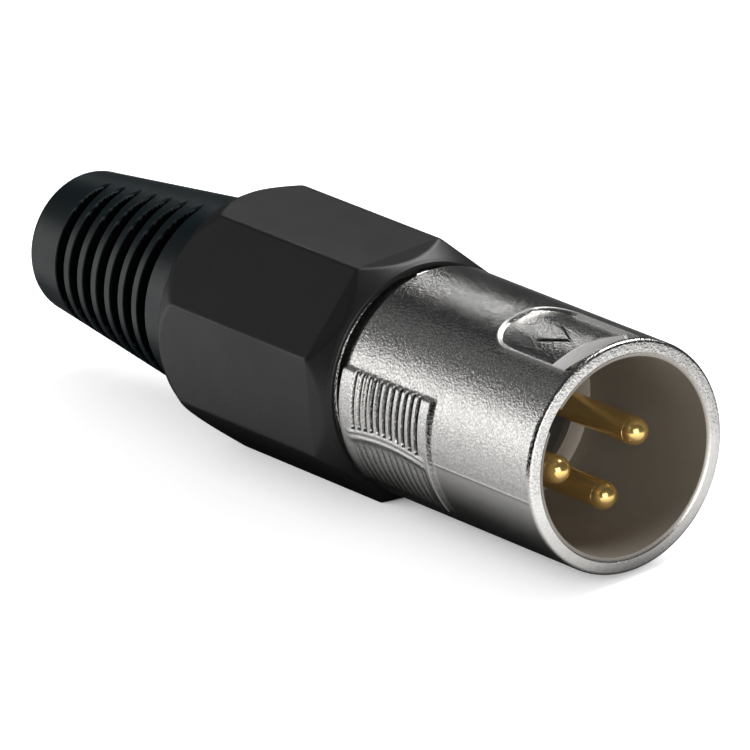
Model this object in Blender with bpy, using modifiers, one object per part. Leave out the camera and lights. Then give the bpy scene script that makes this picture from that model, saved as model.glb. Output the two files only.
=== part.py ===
"""Three-contact male audio cable plug: die-cast shell, contact insert, clamp, screw collar and boot.

Metres, +Z up. The plug's axis is the X axis, and +X points towards the socket it goes into. The
origin is the centre of the insert's front face. The plug lies on one flat of its collar.
"""
import math

import bmesh
import bpy
from mathutils import Matrix

# Fits
GAP = 0.0003                 # clearance between pieces that seat on or pass through one another

# Shell: barrel
BARREL_LENGTH = 0.024        # rim to the shoulder behind the grip pads
RIM_ROUNDING = 0.0004
SHOULDER_ROUNDING = 0.0002
BARREL_WALL = 0.0014         # bore to the barrel's outside
MOUTH_CHAMFER_WIDTH = 0.00035
MOUTH_CHAMFER_DEPTH = 0.00025
SOCKET_DEPTH = 0.015         # rim to the shelf round the insert
SHELF_WIDTH = 0.00135        # hole for the insert to the bore
SEAT_LENGTH = 0.007          # shelf to the step that stops the insert's flange
STEP_WIDTH = 0.0009
NECK_WALL = 0.00095
NECK_LENGTH = 0.014
KEY_TURN = math.radians(5)   # the latch side leans this far from +Z towards -Y

# Shell: latch recess, latch window, arrow and keyway
RECESS_WIDTH = 0.0071
RECESS_DEPTH = 0.0003
RECESS_LENGTH = 0.0109       # rim to the recess's rounded rear end
RECESS_CORNER = 0.0027
WINDOW_BRIDGE = 0.00055      # metal left between the window and the rim
WINDOW_LENGTH = 0.0021
WINDOW_CORNER = 0.0006
WINDOW_LEDGE = 0.00008       # step between the recess's edge and the window's, on the sides and front
WINDOW_SKEW = 0.0009         # how far the window's rear edge runs back across its width
ARROW_TIP = 0.0041           # rim to the arrow's tip
ARROW_LENGTH = 0.0027
ARROW_WIDTH = 0.0027
ARROW_HEIGHT = 0.00012
KEYWAY_WIDTH = 0.0021
KEYWAY_DEPTH = 0.0003
KEYWAY_TURN = math.radians(46)   # from the latch side towards -Y

# Shell: grip pads
PAD_HEIGHT = 0.00022
PAD_FRONT = 0.0124           # rim to the foot of the pad's front slope
PAD_SLOPE = 0.0007
PAD_OVERHANG = 0.0003        # how far a pad runs past the shoulder
PAD_HALF_ANGLE = math.radians(32)
PAD_EDGE_ANGLE = math.radians(2.5)
RIB_PITCH = 0.00082
RIB_COUNT = 11               # grooves in each row of a pad
RIB_GROOVE = 0.00042
RIB_REAR_LAND = 0.0016       # shoulder end of the pad to the last groove's centre
RIB_DEPTH_UPPER = 0.0004
RIB_DEPTH_LOWER = 0.00016
RIB_ROW_SPAN = math.radians(25)
RIB_ROW_TURN = math.radians(16)

# Insert
INSERT_FACE_RECESS = 0.0003  # the shelf to the insert's front face
INSERT_EDGE = 0.0002
INSERT_FLANGE_LENGTH = 0.0027

# Contacts
CONTACT_RADIUS = 0.00115
CONTACT_CIRCLE = 0.00395     # radius of the circle through the three contacts
CONTACT_MARGIN = 0.0025      # that circle to the insert's edge
CONTACT_DROP = 0.00047       # how far that circle's centre lies from the axis, away from the latch
CONTACT_TIP_DEPTH = 0.0029   # rim to the contacts' tips
CONTACT_COLLAR_RADIUS = 0.0015
CONTACT_COLLAR_LENGTH = 0.0014
CUP_RADIUS = 0.0013
CUP_BORE = 0.0009
CUP_LENGTH = 0.0058
CUP_DEPTH = 0.004
CUP_OPEN_LENGTH = 0.0022     # length of the cup's cut-away side

# Ground tag
TAG_WIDTH = 0.0018
TAG_THICKNESS = 0.0004
TAG_INSET = 0.00165          # insert's edge to the strip's inner face
TAG_REACH = 0.0055           # how far the strip stands out behind the insert
TAG_SLOT_LENGTH = 0.005
TAG_EYE_RADIUS = 0.0005
TAG_EYE_INSET = 0.0013

# Cable clamp
CLAMP_WALL = 0.00115
CLAMP_BORE = 0.0039
CLAMP_NOSE_STEP = 0.00155    # how much smaller the jaws' tips are than the sleeve
JAW_LENGTH = 0.012           # neck end to the tips of the jaws
JAW_TAPER_START = 0.003      # neck end to where the jaws begin to taper
JAW_SLIT = 0.0011
JAW_SLIT_START = 0.001       # neck end to the roots of the slits
CLAMP_FLOOR = 0.002          # thickness of the wall that carries the jaws
WINDOW_SIDE = 0.005          # side openings of the clamp's sleeve

# Collar
COLLAR_STANDOFF = 0.0016     # shoulder to the collar's lip
COLLAR_WALL = 0.00117        # bore to the flats
COLLAR_LENGTH = 0.0204       # front edge of the flats to the rear face
COLLAR_RISE = 0.002          # front edge of the flats to the lip
COLLAR_LEAN = 0.00035        # how far the flats lean in over the rise
LIP_WALL = 0.0006
LIP_ROUNDING = 0.0003
LIP_CHAMFER = 0.0002
REAR_CHAMFER_LENGTH = 0.0024
REAR_WALL = 0.00113          # the boot's hole to the rear edge
REAR_ROUNDING = 0.0002

# Boot
BOOT_TIP_WALL = 0.00225
BOOT_REACH = 0.0234          # collar's rear face to the boot's rear end
BOOT_FLANGE_WIDTH = 0.00065
FLANGE_COVER = 0.00057       # the flange's groove to the collar's flats
BOOT_FLANGE_LENGTH = 0.002
BOOT_TIP_ROUNDING = 0.0009
CABLE_HOLE_RADIUS = 0.0037
GROOVE_COUNT = 7
GROOVE_PITCH = 0.0022
GROOVE_WIDTH = 0.00135
GROOVE_DEPTH = 0.0015
GROOVE_START = 0.005         # collar's rear face to the first groove's centre
SPINE_TURN = math.radians(-15)       # where the plain strip between the grooves' upper ends lies
SPINE_HALF_ANGLE = math.radians(20)
GROOVE_FULL_ANGLE = math.radians(60)     # from the strip's middle to where a groove is at its deepest

# Facets round a full turn
SHELL_STEPS = 72
BOOT_STEPS = 36
GROOVE_STEPS = 36
INNER_STEPS = 40
CONTACT_STEPS = 20
OVERSIZE = 0.004             # how far a cutter reaches past what it cuts

# Places along the axis, worked out from the sizes above
SHELF_X = INSERT_FACE_RECESS
RIM_X = SHELF_X + SOCKET_DEPTH
SHOULDER_X = RIM_X - BARREL_LENGTH
NECK_END_X = SHOULDER_X - NECK_LENGTH
STEP_X = SHELF_X - SEAT_LENGTH
FLANGE_FRONT_X = STEP_X - GAP
INSERT_REAR_X = FLANGE_FRONT_X - INSERT_FLANGE_LENGTH
CLAMP_FRONT_X = INSERT_REAR_X - GAP
CLAMP_REAR_X = NECK_END_X - JAW_LENGTH
LIP_X = SHOULDER_X - COLLAR_STANDOFF
FLATS_FRONT_X = LIP_X - COLLAR_RISE
COLLAR_REAR_X = FLATS_FRONT_X - COLLAR_LENGTH
BOOT_FRONT_X = NECK_END_X - GAP
FLANGE_REAR_X = BOOT_FRONT_X - BOOT_FLANGE_LENGTH
BOOT_REAR_X = COLLAR_REAR_X - BOOT_REACH
PAD_REAR_X = SHOULDER_X - PAD_OVERHANG
CONTACT_TIP_X = RIM_X - CONTACT_TIP_DEPTH

# Radii that follow from those of a neighbour, from the contacts outwards
INSERT_RADIUS = CONTACT_CIRCLE + CONTACT_MARGIN
SEAT_RADIUS = INSERT_RADIUS + GAP
BORE_RADIUS = SEAT_RADIUS + SHELF_WIDTH
BARREL_RADIUS = BORE_RADIUS + BARREL_WALL
REAR_BORE_RADIUS = SEAT_RADIUS + STEP_WIDTH
NECK_RADIUS = REAR_BORE_RADIUS + NECK_WALL
INSERT_FLANGE_RADIUS = REAR_BORE_RADIUS - GAP
CLAMP_RADIUS = REAR_BORE_RADIUS - GAP
CLAMP_NOSE_RADIUS = CLAMP_RADIUS - CLAMP_NOSE_STEP
TAG_RADIUS = INSERT_RADIUS - TAG_INSET
TAG_SLOT_RADIUS = TAG_RADIUS - GAP
COLLAR_BORE_RADIUS = NECK_RADIUS + GAP
COLLAR_FLAT_RADIUS = COLLAR_BORE_RADIUS + COLLAR_WALL
COLLAR_CORNER_RADIUS = COLLAR_FLAT_RADIUS / math.cos(math.pi / 8)
LIP_RADIUS = COLLAR_BORE_RADIUS + LIP_WALL
FLANGE_GROOVE_RADIUS = COLLAR_FLAT_RADIUS - FLANGE_COVER
BOOT_FLANGE_RADIUS = FLANGE_GROOVE_RADIUS - GAP
BOOT_RADIUS = BOOT_FLANGE_RADIUS - BOOT_FLANGE_WIDTH
BOOT_HOLE_RADIUS = BOOT_RADIUS + GAP
REAR_EDGE_RADIUS = BOOT_HOLE_RADIUS + REAR_WALL
BOOT_TIP_RADIUS = CABLE_HOLE_RADIUS + BOOT_TIP_WALL

ALONG_X = Matrix.Rotation(math.pi / 2, 4, "Y")   # turns a form made round Z so that it runs along X


def clear_scene():
    for thing in list(bpy.data.objects):
        bpy.data.objects.remove(thing, do_unlink=True)


def make_collection(name):
    collection = bpy.data.collections.new(name)
    bpy.context.scene.collection.children.link(collection)
    return collection


def make_material(name, color, roughness, metallic):
    material = bpy.data.materials.new(name)
    material.use_nodes = True
    shader = material.node_tree.nodes["Principled BSDF"]
    shader.inputs["Base Color"].default_value = (*color, 1.0)
    shader.inputs["Roughness"].default_value = roughness
    shader.inputs["Metallic"].default_value = metallic
    return material


def add_object(name, mesh, collection, matrix=None, material=None):
    thing = bpy.data.objects.new(name, mesh)
    collection.objects.link(thing)
    if matrix is not None:
        thing.matrix_world = matrix
    if material is not None:
        mesh.materials.append(material)
    if collection is cutters:
        thing.hide_render = True
        thing.display_type = "WIRE"
    return thing


def arc(center, radius, start, end, steps=4):
    """Points of an arc in the plane of an outline, as (x, r), with angles in degrees from +x."""
    points = []
    for step in range(steps + 1):
        angle = math.radians(start + (end - start) * step / steps)
        points.append((center[0] + radius * math.cos(angle), center[1] + radius * math.sin(angle)))
    return points


def signed_area(points):
    total = 0.0
    for (x0, r0), (x1, r1) in zip(points, points[1:] + points[:1]):
        total += r0 * x1 - r1 * x0
    return total / 2


def turned(name, outline, steps, collection, material=None, turn=0.0, smooth=True):
    """A solid of revolution about the X axis from an outline of (x, r) points."""
    points = list(outline)
    if signed_area(points) > 0:
        points.reverse()
    solid_core = points[0][1] == 0.0 and points[-1][1] == 0.0
    edges = [(index, index + 1) for index in range(len(points) - 1)]
    if not solid_core:
        edges.append((len(points) - 1, 0))
    mesh = bpy.data.meshes.new(name)
    mesh.from_pydata([(r, 0.0, x) for x, r in points], edges, [])
    thing = add_object(name, mesh, collection, Matrix.Rotation(turn, 4, "X") @ ALONG_X, material)
    screw = thing.modifiers.new("turn", "SCREW")
    screw.axis = "Z"
    screw.steps = steps
    screw.render_steps = steps
    screw.use_merge_vertices = True
    screw.merge_threshold = 0.000001
    screw.use_smooth_shade = smooth
    return thing


def prism(name, outline, low, high, collection, matrix=None):
    """A straight prism: an outline of (x, y) points, extruded in Z from low to high."""
    form = bmesh.new()
    face = form.faces.new([form.verts.new((x, y, low)) for x, y in outline])
    raised = bmesh.ops.extrude_face_region(form, geom=[face])["geom"]
    tops = [item for item in raised if isinstance(item, bmesh.types.BMVert)]
    bmesh.ops.translate(form, verts=tops, vec=(0.0, 0.0, high - low))
    bmesh.ops.recalc_face_normals(form, faces=form.faces)
    mesh = bpy.data.meshes.new(name)
    form.to_mesh(mesh)
    form.free()
    return add_object(name, mesh, collection, matrix)


def blocks(name, boxes, collection, matrix=None):
    """One cutter made of separate boxes, each (centre, size, turn about X)."""
    form = bmesh.new()
    for center, size, turn in boxes:
        place = Matrix.Rotation(turn, 4, "X") @ Matrix.Translation(center) @ Matrix.Diagonal((*size, 1.0))
        bmesh.ops.create_cube(form, size=1.0, matrix=place)
    mesh = bpy.data.meshes.new(name)
    form.to_mesh(mesh)
    form.free()
    return add_object(name, mesh, collection, matrix)


def rod(name, start_x, end_x, radius, y, z, steps, collection, matrix=None):
    """A plain cylinder along X through (y, z)."""
    form = bmesh.new()
    place = Matrix.Translation(((start_x + end_x) / 2, y, z)) @ ALONG_X
    bmesh.ops.create_cone(form, cap_ends=True, segments=steps, radius1=radius, radius2=radius,
                          depth=abs(end_x - start_x), matrix=place)
    mesh = bpy.data.meshes.new(name)
    form.to_mesh(mesh)
    form.free()
    return add_object(name, mesh, collection, matrix)


def combine(target, other, operation="DIFFERENCE"):
    modifier = target.modifiers.new(other.name, "BOOLEAN")
    modifier.operation = operation
    modifier.solver = "EXACT"
    modifier.object = other


def rounded_outline(x_low, x_high, half_width, corner, steps=5, front_corner=0.0):
    """A rectangle in X and Y, rounded at its rear corners and, if asked, at its front corners."""
    rear = x_low + corner
    side = half_width - corner
    points = arc((rear, -side), corner, 270, 180, steps) + arc((rear, side), corner, 180, 90, steps)
    if front_corner > 0:
        front = x_high - front_corner
        side = half_width - front_corner
        points += arc((front, side), front_corner, 90, 0, 3) + arc((front, -side), front_corner, 0, -90, 3)
    else:
        points += [(x_high, half_width), (x_high, -half_width)]
    return points


def contact_places():
    """The (y, z) of each contact, with the middle one opposite the latch."""
    places = []
    for quarter in (-1, 0, 1):
        angle = KEY_TURN + math.pi + quarter * math.pi / 2
        drop_y = math.sin(KEY_TURN) * CONTACT_DROP
        drop_z = -math.cos(KEY_TURN) * CONTACT_DROP
        y = drop_y - math.sin(angle) * CONTACT_CIRCLE
        z = drop_z + math.cos(angle) * CONTACT_CIRCLE
        places.append((y, z))
    return places


def make_shell(material):
    key = Matrix.Rotation(KEY_TURN, 4, "X")
    outline = [(RIM_X, BORE_RADIUS + MOUTH_CHAMFER_WIDTH)]
    outline += arc((RIM_X - RIM_ROUNDING, BARREL_RADIUS - RIM_ROUNDING), RIM_ROUNDING, 0, 90)
    edge = (SHOULDER_X + SHOULDER_ROUNDING, BARREL_RADIUS - SHOULDER_ROUNDING)
    outline += arc(edge, SHOULDER_ROUNDING, 90, 180, 2)
    outline += [(SHOULDER_X, NECK_RADIUS), (NECK_END_X, NECK_RADIUS), (NECK_END_X, REAR_BORE_RADIUS)]
    outline += [(STEP_X, REAR_BORE_RADIUS), (STEP_X, SEAT_RADIUS), (SHELF_X, SEAT_RADIUS)]
    outline += [(SHELF_X, BORE_RADIUS), (RIM_X - MOUTH_CHAMFER_DEPTH, BORE_RADIUS)]
    shell = turned("shell", outline, SHELL_STEPS, parts, material)

    for side in (1, -1):
        combine(shell, make_pad(side), "UNION")
    for side in (1, -1):
        combine(shell, make_pad_grooves(side))

    reach = BARREL_RADIUS + OVERSIZE
    floor = BARREL_RADIUS - RECESS_DEPTH
    recess = prism("recess_cut", rounded_outline(RIM_X - RECESS_LENGTH, RIM_X - WINDOW_BRIDGE,
                                                 RECESS_WIDTH / 2, RECESS_CORNER,
                                                 front_corner=WINDOW_CORNER), 0, reach, cutters, key)
    half_facet = Matrix.Rotation(math.pi / SHELL_STEPS, 4, "X")
    core = rod("recess_floor", RIM_X - RECESS_LENGTH - OVERSIZE, RIM_X + OVERSIZE, floor, 0, 0,
               SHELL_STEPS, cutters, key @ half_facet)
    combine(recess, core)
    combine(shell, recess)

    half = RECESS_WIDTH / 2 - WINDOW_LEDGE
    front = RIM_X - WINDOW_BRIDGE - WINDOW_LEDGE
    rear = front - WINDOW_LENGTH
    window = rounded_outline(rear, front, half, WINDOW_CORNER, 3, WINDOW_CORNER)
    skewed = []
    for x, y in window:
        lean = WINDOW_SKEW * y / RECESS_WIDTH if x < rear + WINDOW_LENGTH / 2 else 0.0
        skewed.append((x + lean, y))
    combine(shell, prism("window_cut", skewed, SEAT_RADIUS - SHELF_WIDTH, reach, cutters, key))

    tip = RIM_X - ARROW_TIP
    arrow = [(tip, 0.0), (tip - ARROW_LENGTH, ARROW_WIDTH / 2), (tip - ARROW_LENGTH, -ARROW_WIDTH / 2)]
    raised = prism("arrow", arrow, BORE_RADIUS + MOUTH_CHAMFER_WIDTH, reach, cutters, key)
    crown = rod("arrow_crown", tip - ARROW_LENGTH - OVERSIZE, RIM_X, floor + ARROW_HEIGHT, 0, 0,
                SHELL_STEPS, cutters, key @ half_facet)
    combine(raised, crown, "INTERSECT")
    combine(shell, raised, "UNION")

    depth = BORE_RADIUS + KEYWAY_DEPTH
    height = depth - SEAT_RADIUS
    length = SOCKET_DEPTH + OVERSIZE
    keyway = ((SHELF_X + length / 2, 0.0, depth - height / 2), (length, KEYWAY_WIDTH, height), KEYWAY_TURN)
    combine(shell, blocks("keyway_cut", [keyway], cutters, key))
    return shell


def make_pad(side):
    """A raised pad: a low ring with a sloped front, kept only between two leaning planes."""
    top = BARREL_RADIUS + PAD_HEIGHT
    sunk = BARREL_RADIUS - PAD_HEIGHT
    front = RIM_X - PAD_FRONT
    base = BARREL_RADIUS - SHOULDER_ROUNDING
    outline = [(front + PAD_SLOPE, sunk), (front - PAD_SLOPE, top)]
    outline += [(PAD_REAR_X, top), (PAD_REAR_X, base - PAD_HEIGHT)]
    label = "right" if side > 0 else "left"
    ring = turned("pad_" + label, outline, SHELL_STEPS, cutters, turn=math.pi / SHELL_STEPS)
    foot = (BARREL_RADIUS * math.cos(PAD_HALF_ANGLE), BARREL_RADIUS * math.sin(PAD_HALF_ANGLE))
    crown_angle = PAD_HALF_ANGLE - PAD_EDGE_ANGLE
    crown = (top * math.cos(crown_angle), top * math.sin(crown_angle))
    lean = (crown[1] - foot[1]) / (crown[0] - foot[0])
    low = SEAT_RADIUS
    high = top + OVERSIZE / 2
    low_half = foot[1] + lean * (low - foot[0])
    high_half = foot[1] + lean * (high - foot[0])
    sides = [(-low, -low_half), (-high, -high_half), (-high, high_half), (-low, low_half)]
    place = Matrix.Rotation(KEY_TURN + side * math.pi / 2, 4, "X") @ ALONG_X
    wedge = prism("pad_wedge_" + label, sides, PAD_REAR_X - OVERSIZE, RIM_X, cutters, place)
    combine(ring, wedge, "INTERSECT")
    return ring


def make_pad_grooves(side):
    """The finger grooves of one pad: a deep row above the parting line and a shallow one below."""
    top = BARREL_RADIUS + PAD_HEIGHT
    boxes = []
    for row, depth in ((-1, RIB_DEPTH_UPPER), (1, RIB_DEPTH_LOWER)):
        turn = side * (math.pi / 2 + row * RIB_ROW_TURN)
        width = 2 * top * math.sin(RIB_ROW_SPAN / 2)
        low = top - depth
        for index in range(RIB_COUNT):
            x = PAD_REAR_X + RIB_REAR_LAND + index * RIB_PITCH
            center = (x, 0.0, low + OVERSIZE / 4)
            boxes.append((center, (RIB_GROOVE, width, OVERSIZE / 2), turn))
    label = "right" if side > 0 else "left"
    return blocks("pad_grooves_" + label, boxes, cutters, Matrix.Rotation(KEY_TURN, 4, "X"))


def make_insert(material):
    outline = [(0.0, 0.0), (0.0, INSERT_RADIUS - INSERT_EDGE), (-INSERT_EDGE, INSERT_RADIUS)]
    outline += [(FLANGE_FRONT_X, INSERT_RADIUS), (FLANGE_FRONT_X, INSERT_FLANGE_RADIUS)]
    outline += [(INSERT_REAR_X, INSERT_FLANGE_RADIUS), (INSERT_REAR_X, 0.0)]
    insert = turned("insert", outline, INNER_STEPS, parts, material)
    shoulder = FLANGE_FRONT_X - GAP
    for index, (y, z) in enumerate(contact_places(), 1):
        hole = rod("contact_hole_%d" % index, INSERT_REAR_X - OVERSIZE, OVERSIZE, CONTACT_RADIUS + GAP,
                   y, z, CONTACT_STEPS, cutters)
        combine(insert, hole)
        counterbore = rod("contact_counterbore_%d" % index, INSERT_REAR_X - OVERSIZE, shoulder,
                          CONTACT_COLLAR_RADIUS + GAP, y, z, CONTACT_STEPS, cutters)
        combine(insert, counterbore)
    slot_front = INSERT_REAR_X + TAG_SLOT_LENGTH
    length = TAG_SLOT_LENGTH + OVERSIZE
    height = INSERT_FLANGE_RADIUS + OVERSIZE - TAG_SLOT_RADIUS
    slot = ((slot_front - length / 2, 0.0, TAG_SLOT_RADIUS + height / 2),
            (length, TAG_WIDTH + 2 * GAP, height), 0.0)
    combine(insert, blocks("tag_slot", [slot], cutters, Matrix.Rotation(KEY_TURN, 4, "X")))
    return insert


def make_contacts(material):
    """Turned contacts: domed pin, collar that stops in the insert, and a solder cup."""
    contacts = []
    dome = CONTACT_TIP_X - CONTACT_RADIUS
    collar_front = FLANGE_FRONT_X - 2 * GAP
    collar_rear = collar_front - CONTACT_COLLAR_LENGTH
    cup_front = CLAMP_FRONT_X
    cup_rear = cup_front - CUP_LENGTH
    outline = [(CONTACT_TIP_X, 0.0)] + arc((dome, 0.0), CONTACT_RADIUS, 15, 90, 5)
    outline += [(collar_front, CONTACT_RADIUS), (collar_front, CONTACT_COLLAR_RADIUS)]
    outline += [(collar_rear, CONTACT_COLLAR_RADIUS), (collar_rear, CONTACT_RADIUS)]
    outline += [(cup_front, CONTACT_RADIUS), (cup_front, CUP_RADIUS), (cup_rear, CUP_RADIUS)]
    outline += [(cup_rear, CUP_BORE), (cup_rear + CUP_DEPTH, CUP_BORE), (cup_rear + CUP_DEPTH, 0.0)]
    for index, (y, z) in enumerate(contact_places(), 1):
        contact = turned("contact_%d" % index, outline, CONTACT_STEPS, parts, material)
        contact.matrix_world = Matrix.Translation((0.0, y, z)) @ contact.matrix_world
        length = CUP_OPEN_LENGTH + OVERSIZE
        opening = ((cup_rear + CUP_OPEN_LENGTH - length / 2, 0.0, CUP_RADIUS),
                   (length, 4 * CUP_RADIUS, 2 * CUP_RADIUS), 0.0)
        aim = math.atan2(-y, z)
        cutter = blocks("cup_opening_%d" % index, [opening], cutters,
                        Matrix.Translation((0.0, y, z)) @ Matrix.Rotation(aim, 4, "X"))
        combine(contact, cutter)
        contacts.append(contact)
    return contacts


def make_ground_tag(material):
    """A stamped strip with its front end folded out towards the shell's bore, and a solder eye."""
    front = INSERT_REAR_X + TAG_SLOT_LENGTH - GAP
    rear = INSERT_REAR_X - TAG_REACH
    fold = [(rear, TAG_RADIUS), (front, TAG_RADIUS), (front, INSERT_RADIUS)]
    half = TAG_WIDTH / 2
    form = bmesh.new()
    rows = [[form.verts.new((x, y, z)) for y in (-half, half)] for x, z in fold]
    for (a, b), (c, d) in zip(rows, rows[1:]):
        form.faces.new((a, c, d, b))
    mesh = bpy.data.meshes.new("ground_tag")
    form.to_mesh(mesh)
    form.free()
    tag = add_object("ground_tag", mesh, parts, Matrix.Rotation(KEY_TURN, 4, "X"), material)
    sheet = tag.modifiers.new("sheet", "SOLIDIFY")
    sheet.thickness = TAG_THICKNESS
    sheet.offset = 1.0
    sheet.use_even_offset = True
    eye = prism("tag_eye", arc((rear + TAG_EYE_INSET, 0.0), TAG_EYE_RADIUS, 0, 330, 11),
                TAG_RADIUS - OVERSIZE / 2, TAG_RADIUS + OVERSIZE / 2, cutters,
                Matrix.Rotation(KEY_TURN, 4, "X"))
    combine(tag, eye)
    return tag


def make_cable_clamp(material):
    """A sleeve behind the insert that carries four tapered jaws round the cable."""
    inner = CLAMP_RADIUS - CLAMP_WALL
    floor_x = NECK_END_X + CLAMP_FLOOR
    taper_x = NECK_END_X - JAW_TAPER_START
    outline = [(CLAMP_FRONT_X, inner), (CLAMP_FRONT_X, CLAMP_RADIUS), (taper_x, CLAMP_RADIUS)]
    outline += [(CLAMP_REAR_X, CLAMP_NOSE_RADIUS), (CLAMP_REAR_X, CLAMP_BORE), (floor_x, CLAMP_BORE)]
    outline += [(floor_x, inner)]
    clamp = turned("cable_clamp", outline, INNER_STEPS, parts, material)
    start = NECK_END_X - JAW_SLIT_START
    length = start - CLAMP_REAR_X + OVERSIZE
    slit = ((start - length / 2, 0.0, 0.0), (length, JAW_SLIT, 4 * CLAMP_RADIUS))
    for index, turn in enumerate((math.pi / 4, -math.pi / 4), 1):
        combine(clamp, blocks("jaw_slit_%d" % index, [(*slit, turn)], cutters))
    middle = (CLAMP_FRONT_X + floor_x) / 2
    side = ((middle, 0.0, 0.0), (WINDOW_SIDE, 4 * CLAMP_RADIUS, WINDOW_SIDE), KEY_TURN)
    combine(clamp, blocks("sleeve_windows", [side], cutters))
    return clamp


def make_collar(material):
    """An octagonal nut: a turned blank kept inside eight flats that lean in at the front."""
    corner = COLLAR_CORNER_RADIUS
    lean = COLLAR_LEAN / math.cos(math.pi / 8)
    form = [(LIP_X + COLLAR_RISE, 0.0), (LIP_X + COLLAR_RISE, corner - 2 * lean), (FLATS_FRONT_X, corner)]
    form += [(COLLAR_REAR_X - OVERSIZE, corner), (COLLAR_REAR_X - OVERSIZE, 0.0)]
    flats = turned("collar_flats", form, 8, cutters, turn=math.pi / 8, smooth=False)

    outer = corner + GAP
    blank = [(LIP_X - LIP_CHAMFER, COLLAR_BORE_RADIUS), (LIP_X, COLLAR_BORE_RADIUS + LIP_CHAMFER)]
    blank += arc((LIP_X - LIP_ROUNDING, LIP_RADIUS - LIP_ROUNDING), LIP_ROUNDING, 0, 60, 3)
    blank += [(FLATS_FRONT_X, corner), (FLATS_FRONT_X - GAP, outer)]
    blank += [(COLLAR_REAR_X + REAR_CHAMFER_LENGTH, outer)]
    blank += [(COLLAR_REAR_X + REAR_ROUNDING, REAR_EDGE_RADIUS)]
    blank += [(COLLAR_REAR_X, REAR_EDGE_RADIUS - REAR_ROUNDING), (COLLAR_REAR_X, BOOT_HOLE_RADIUS)]
    blank += [(FLANGE_REAR_X - GAP, BOOT_HOLE_RADIUS), (FLANGE_REAR_X - GAP, FLANGE_GROOVE_RADIUS)]
    blank += [(BOOT_FRONT_X + GAP, FLANGE_GROOVE_RADIUS), (BOOT_FRONT_X + GAP, COLLAR_BORE_RADIUS)]
    collar = turned("collar", blank, SHELL_STEPS, parts, material)
    combine(collar, flats, "INTERSECT")
    return collar


def boot_surface(x):
    """The boot's outer radius at x, on its taper behind the collar."""
    share = (COLLAR_REAR_X - x) / BOOT_REACH
    return BOOT_RADIUS + (BOOT_TIP_RADIUS - BOOT_RADIUS) * share


def groove_ring(name, center, collection):
    """A ring that cuts one groove: full depth at the sides, out of the boot at the two plain strips."""
    surface = boot_surface(center)
    form = bmesh.new()
    rings = []
    for step in range(GROOVE_STEPS):
        turn = 2 * math.pi * step / GROOVE_STEPS
        from_strip = math.acos(min(1.0, abs(math.cos(turn))))
        lack = max(0.0, GROOVE_FULL_ANGLE - from_strip) / (GROOVE_FULL_ANGLE - SPINE_HALF_ANGLE)
        floor = surface - GROOVE_DEPTH * (1 - lack ** 2)
        section = [(-1, floor), (1, floor), (1, surface + OVERSIZE), (-1, surface + OVERSIZE)]
        rings.append([form.verts.new((center + side * GROOVE_WIDTH / 2, -radius * math.sin(turn),
                                      radius * math.cos(turn))) for side, radius in section])
    for step, ring in enumerate(rings):
        following = rings[(step + 1) % GROOVE_STEPS]
        for side in range(4):
            beside = (side + 1) % 4
            form.faces.new((ring[side], ring[beside], following[beside], following[side]))
    bmesh.ops.recalc_face_normals(form, faces=form.faces)
    mesh = bpy.data.meshes.new(name)
    form.to_mesh(mesh)
    form.free()
    return add_object(name, mesh, collection, Matrix.Rotation(SPINE_TURN, 4, "X"))


def make_boot(material):
    cavity_mouth = CLAMP_RADIUS + GAP
    cavity_end_x = CLAMP_REAR_X - GAP
    cavity_end = CLAMP_NOSE_RADIUS + GAP
    taper_x = NECK_END_X - JAW_TAPER_START
    outline = [(BOOT_FRONT_X, cavity_mouth), (BOOT_FRONT_X, BOOT_FLANGE_RADIUS)]
    outline += [(FLANGE_REAR_X, BOOT_FLANGE_RADIUS), (FLANGE_REAR_X, BOOT_RADIUS)]
    outline += [(COLLAR_REAR_X, BOOT_RADIUS)]
    tip = (BOOT_REAR_X + BOOT_TIP_ROUNDING, boot_surface(BOOT_REAR_X + BOOT_TIP_ROUNDING) - BOOT_TIP_ROUNDING)
    outline += arc(tip, BOOT_TIP_ROUNDING, 90, 180, 4)
    outline += [(BOOT_REAR_X, CABLE_HOLE_RADIUS), (cavity_end_x, CABLE_HOLE_RADIUS)]
    outline += [(cavity_end_x, cavity_end), (taper_x, cavity_mouth)]
    boot = turned("boot", outline, BOOT_STEPS, parts, material)
    for index in range(GROOVE_COUNT):
        center = COLLAR_REAR_X - GROOVE_START - index * GROOVE_PITCH
        combine(boot, groove_ring("groove_%d" % (index + 1), center, cutters))
    return boot


clear_scene()
parts = make_collection("xlr_plug")
cutters = make_collection("cutters")

nickel = make_material("satin_nickel", (0.62, 0.61, 0.59), 0.32, 1.0)
gold = make_material("gold_plate", (0.83, 0.58, 0.24), 0.18, 1.0)
tin = make_material("tinned_brass", (0.7, 0.69, 0.66), 0.3, 1.0)
insulator = make_material("insulator_plastic", (0.05, 0.05, 0.05), 0.55, 0.0)
clamp_plastic = make_material("clamp_plastic", (0.08, 0.08, 0.08), 0.5, 0.0)
collar_plastic = make_material("collar_plastic", (0.03, 0.03, 0.03), 0.4, 0.0)
rubber = make_material("boot_rubber", (0.03, 0.032, 0.036), 0.6, 0.0)

make_shell(nickel)
make_insert(insulator)
make_contacts(gold)
make_ground_tag(tin)
make_cable_clamp(clamp_plastic)
make_collar(collar_plastic)
make_boot(rubber)
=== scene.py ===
import math

import bmesh
import bpy
import numpy as np
from mathutils import Matrix, Vector


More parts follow.
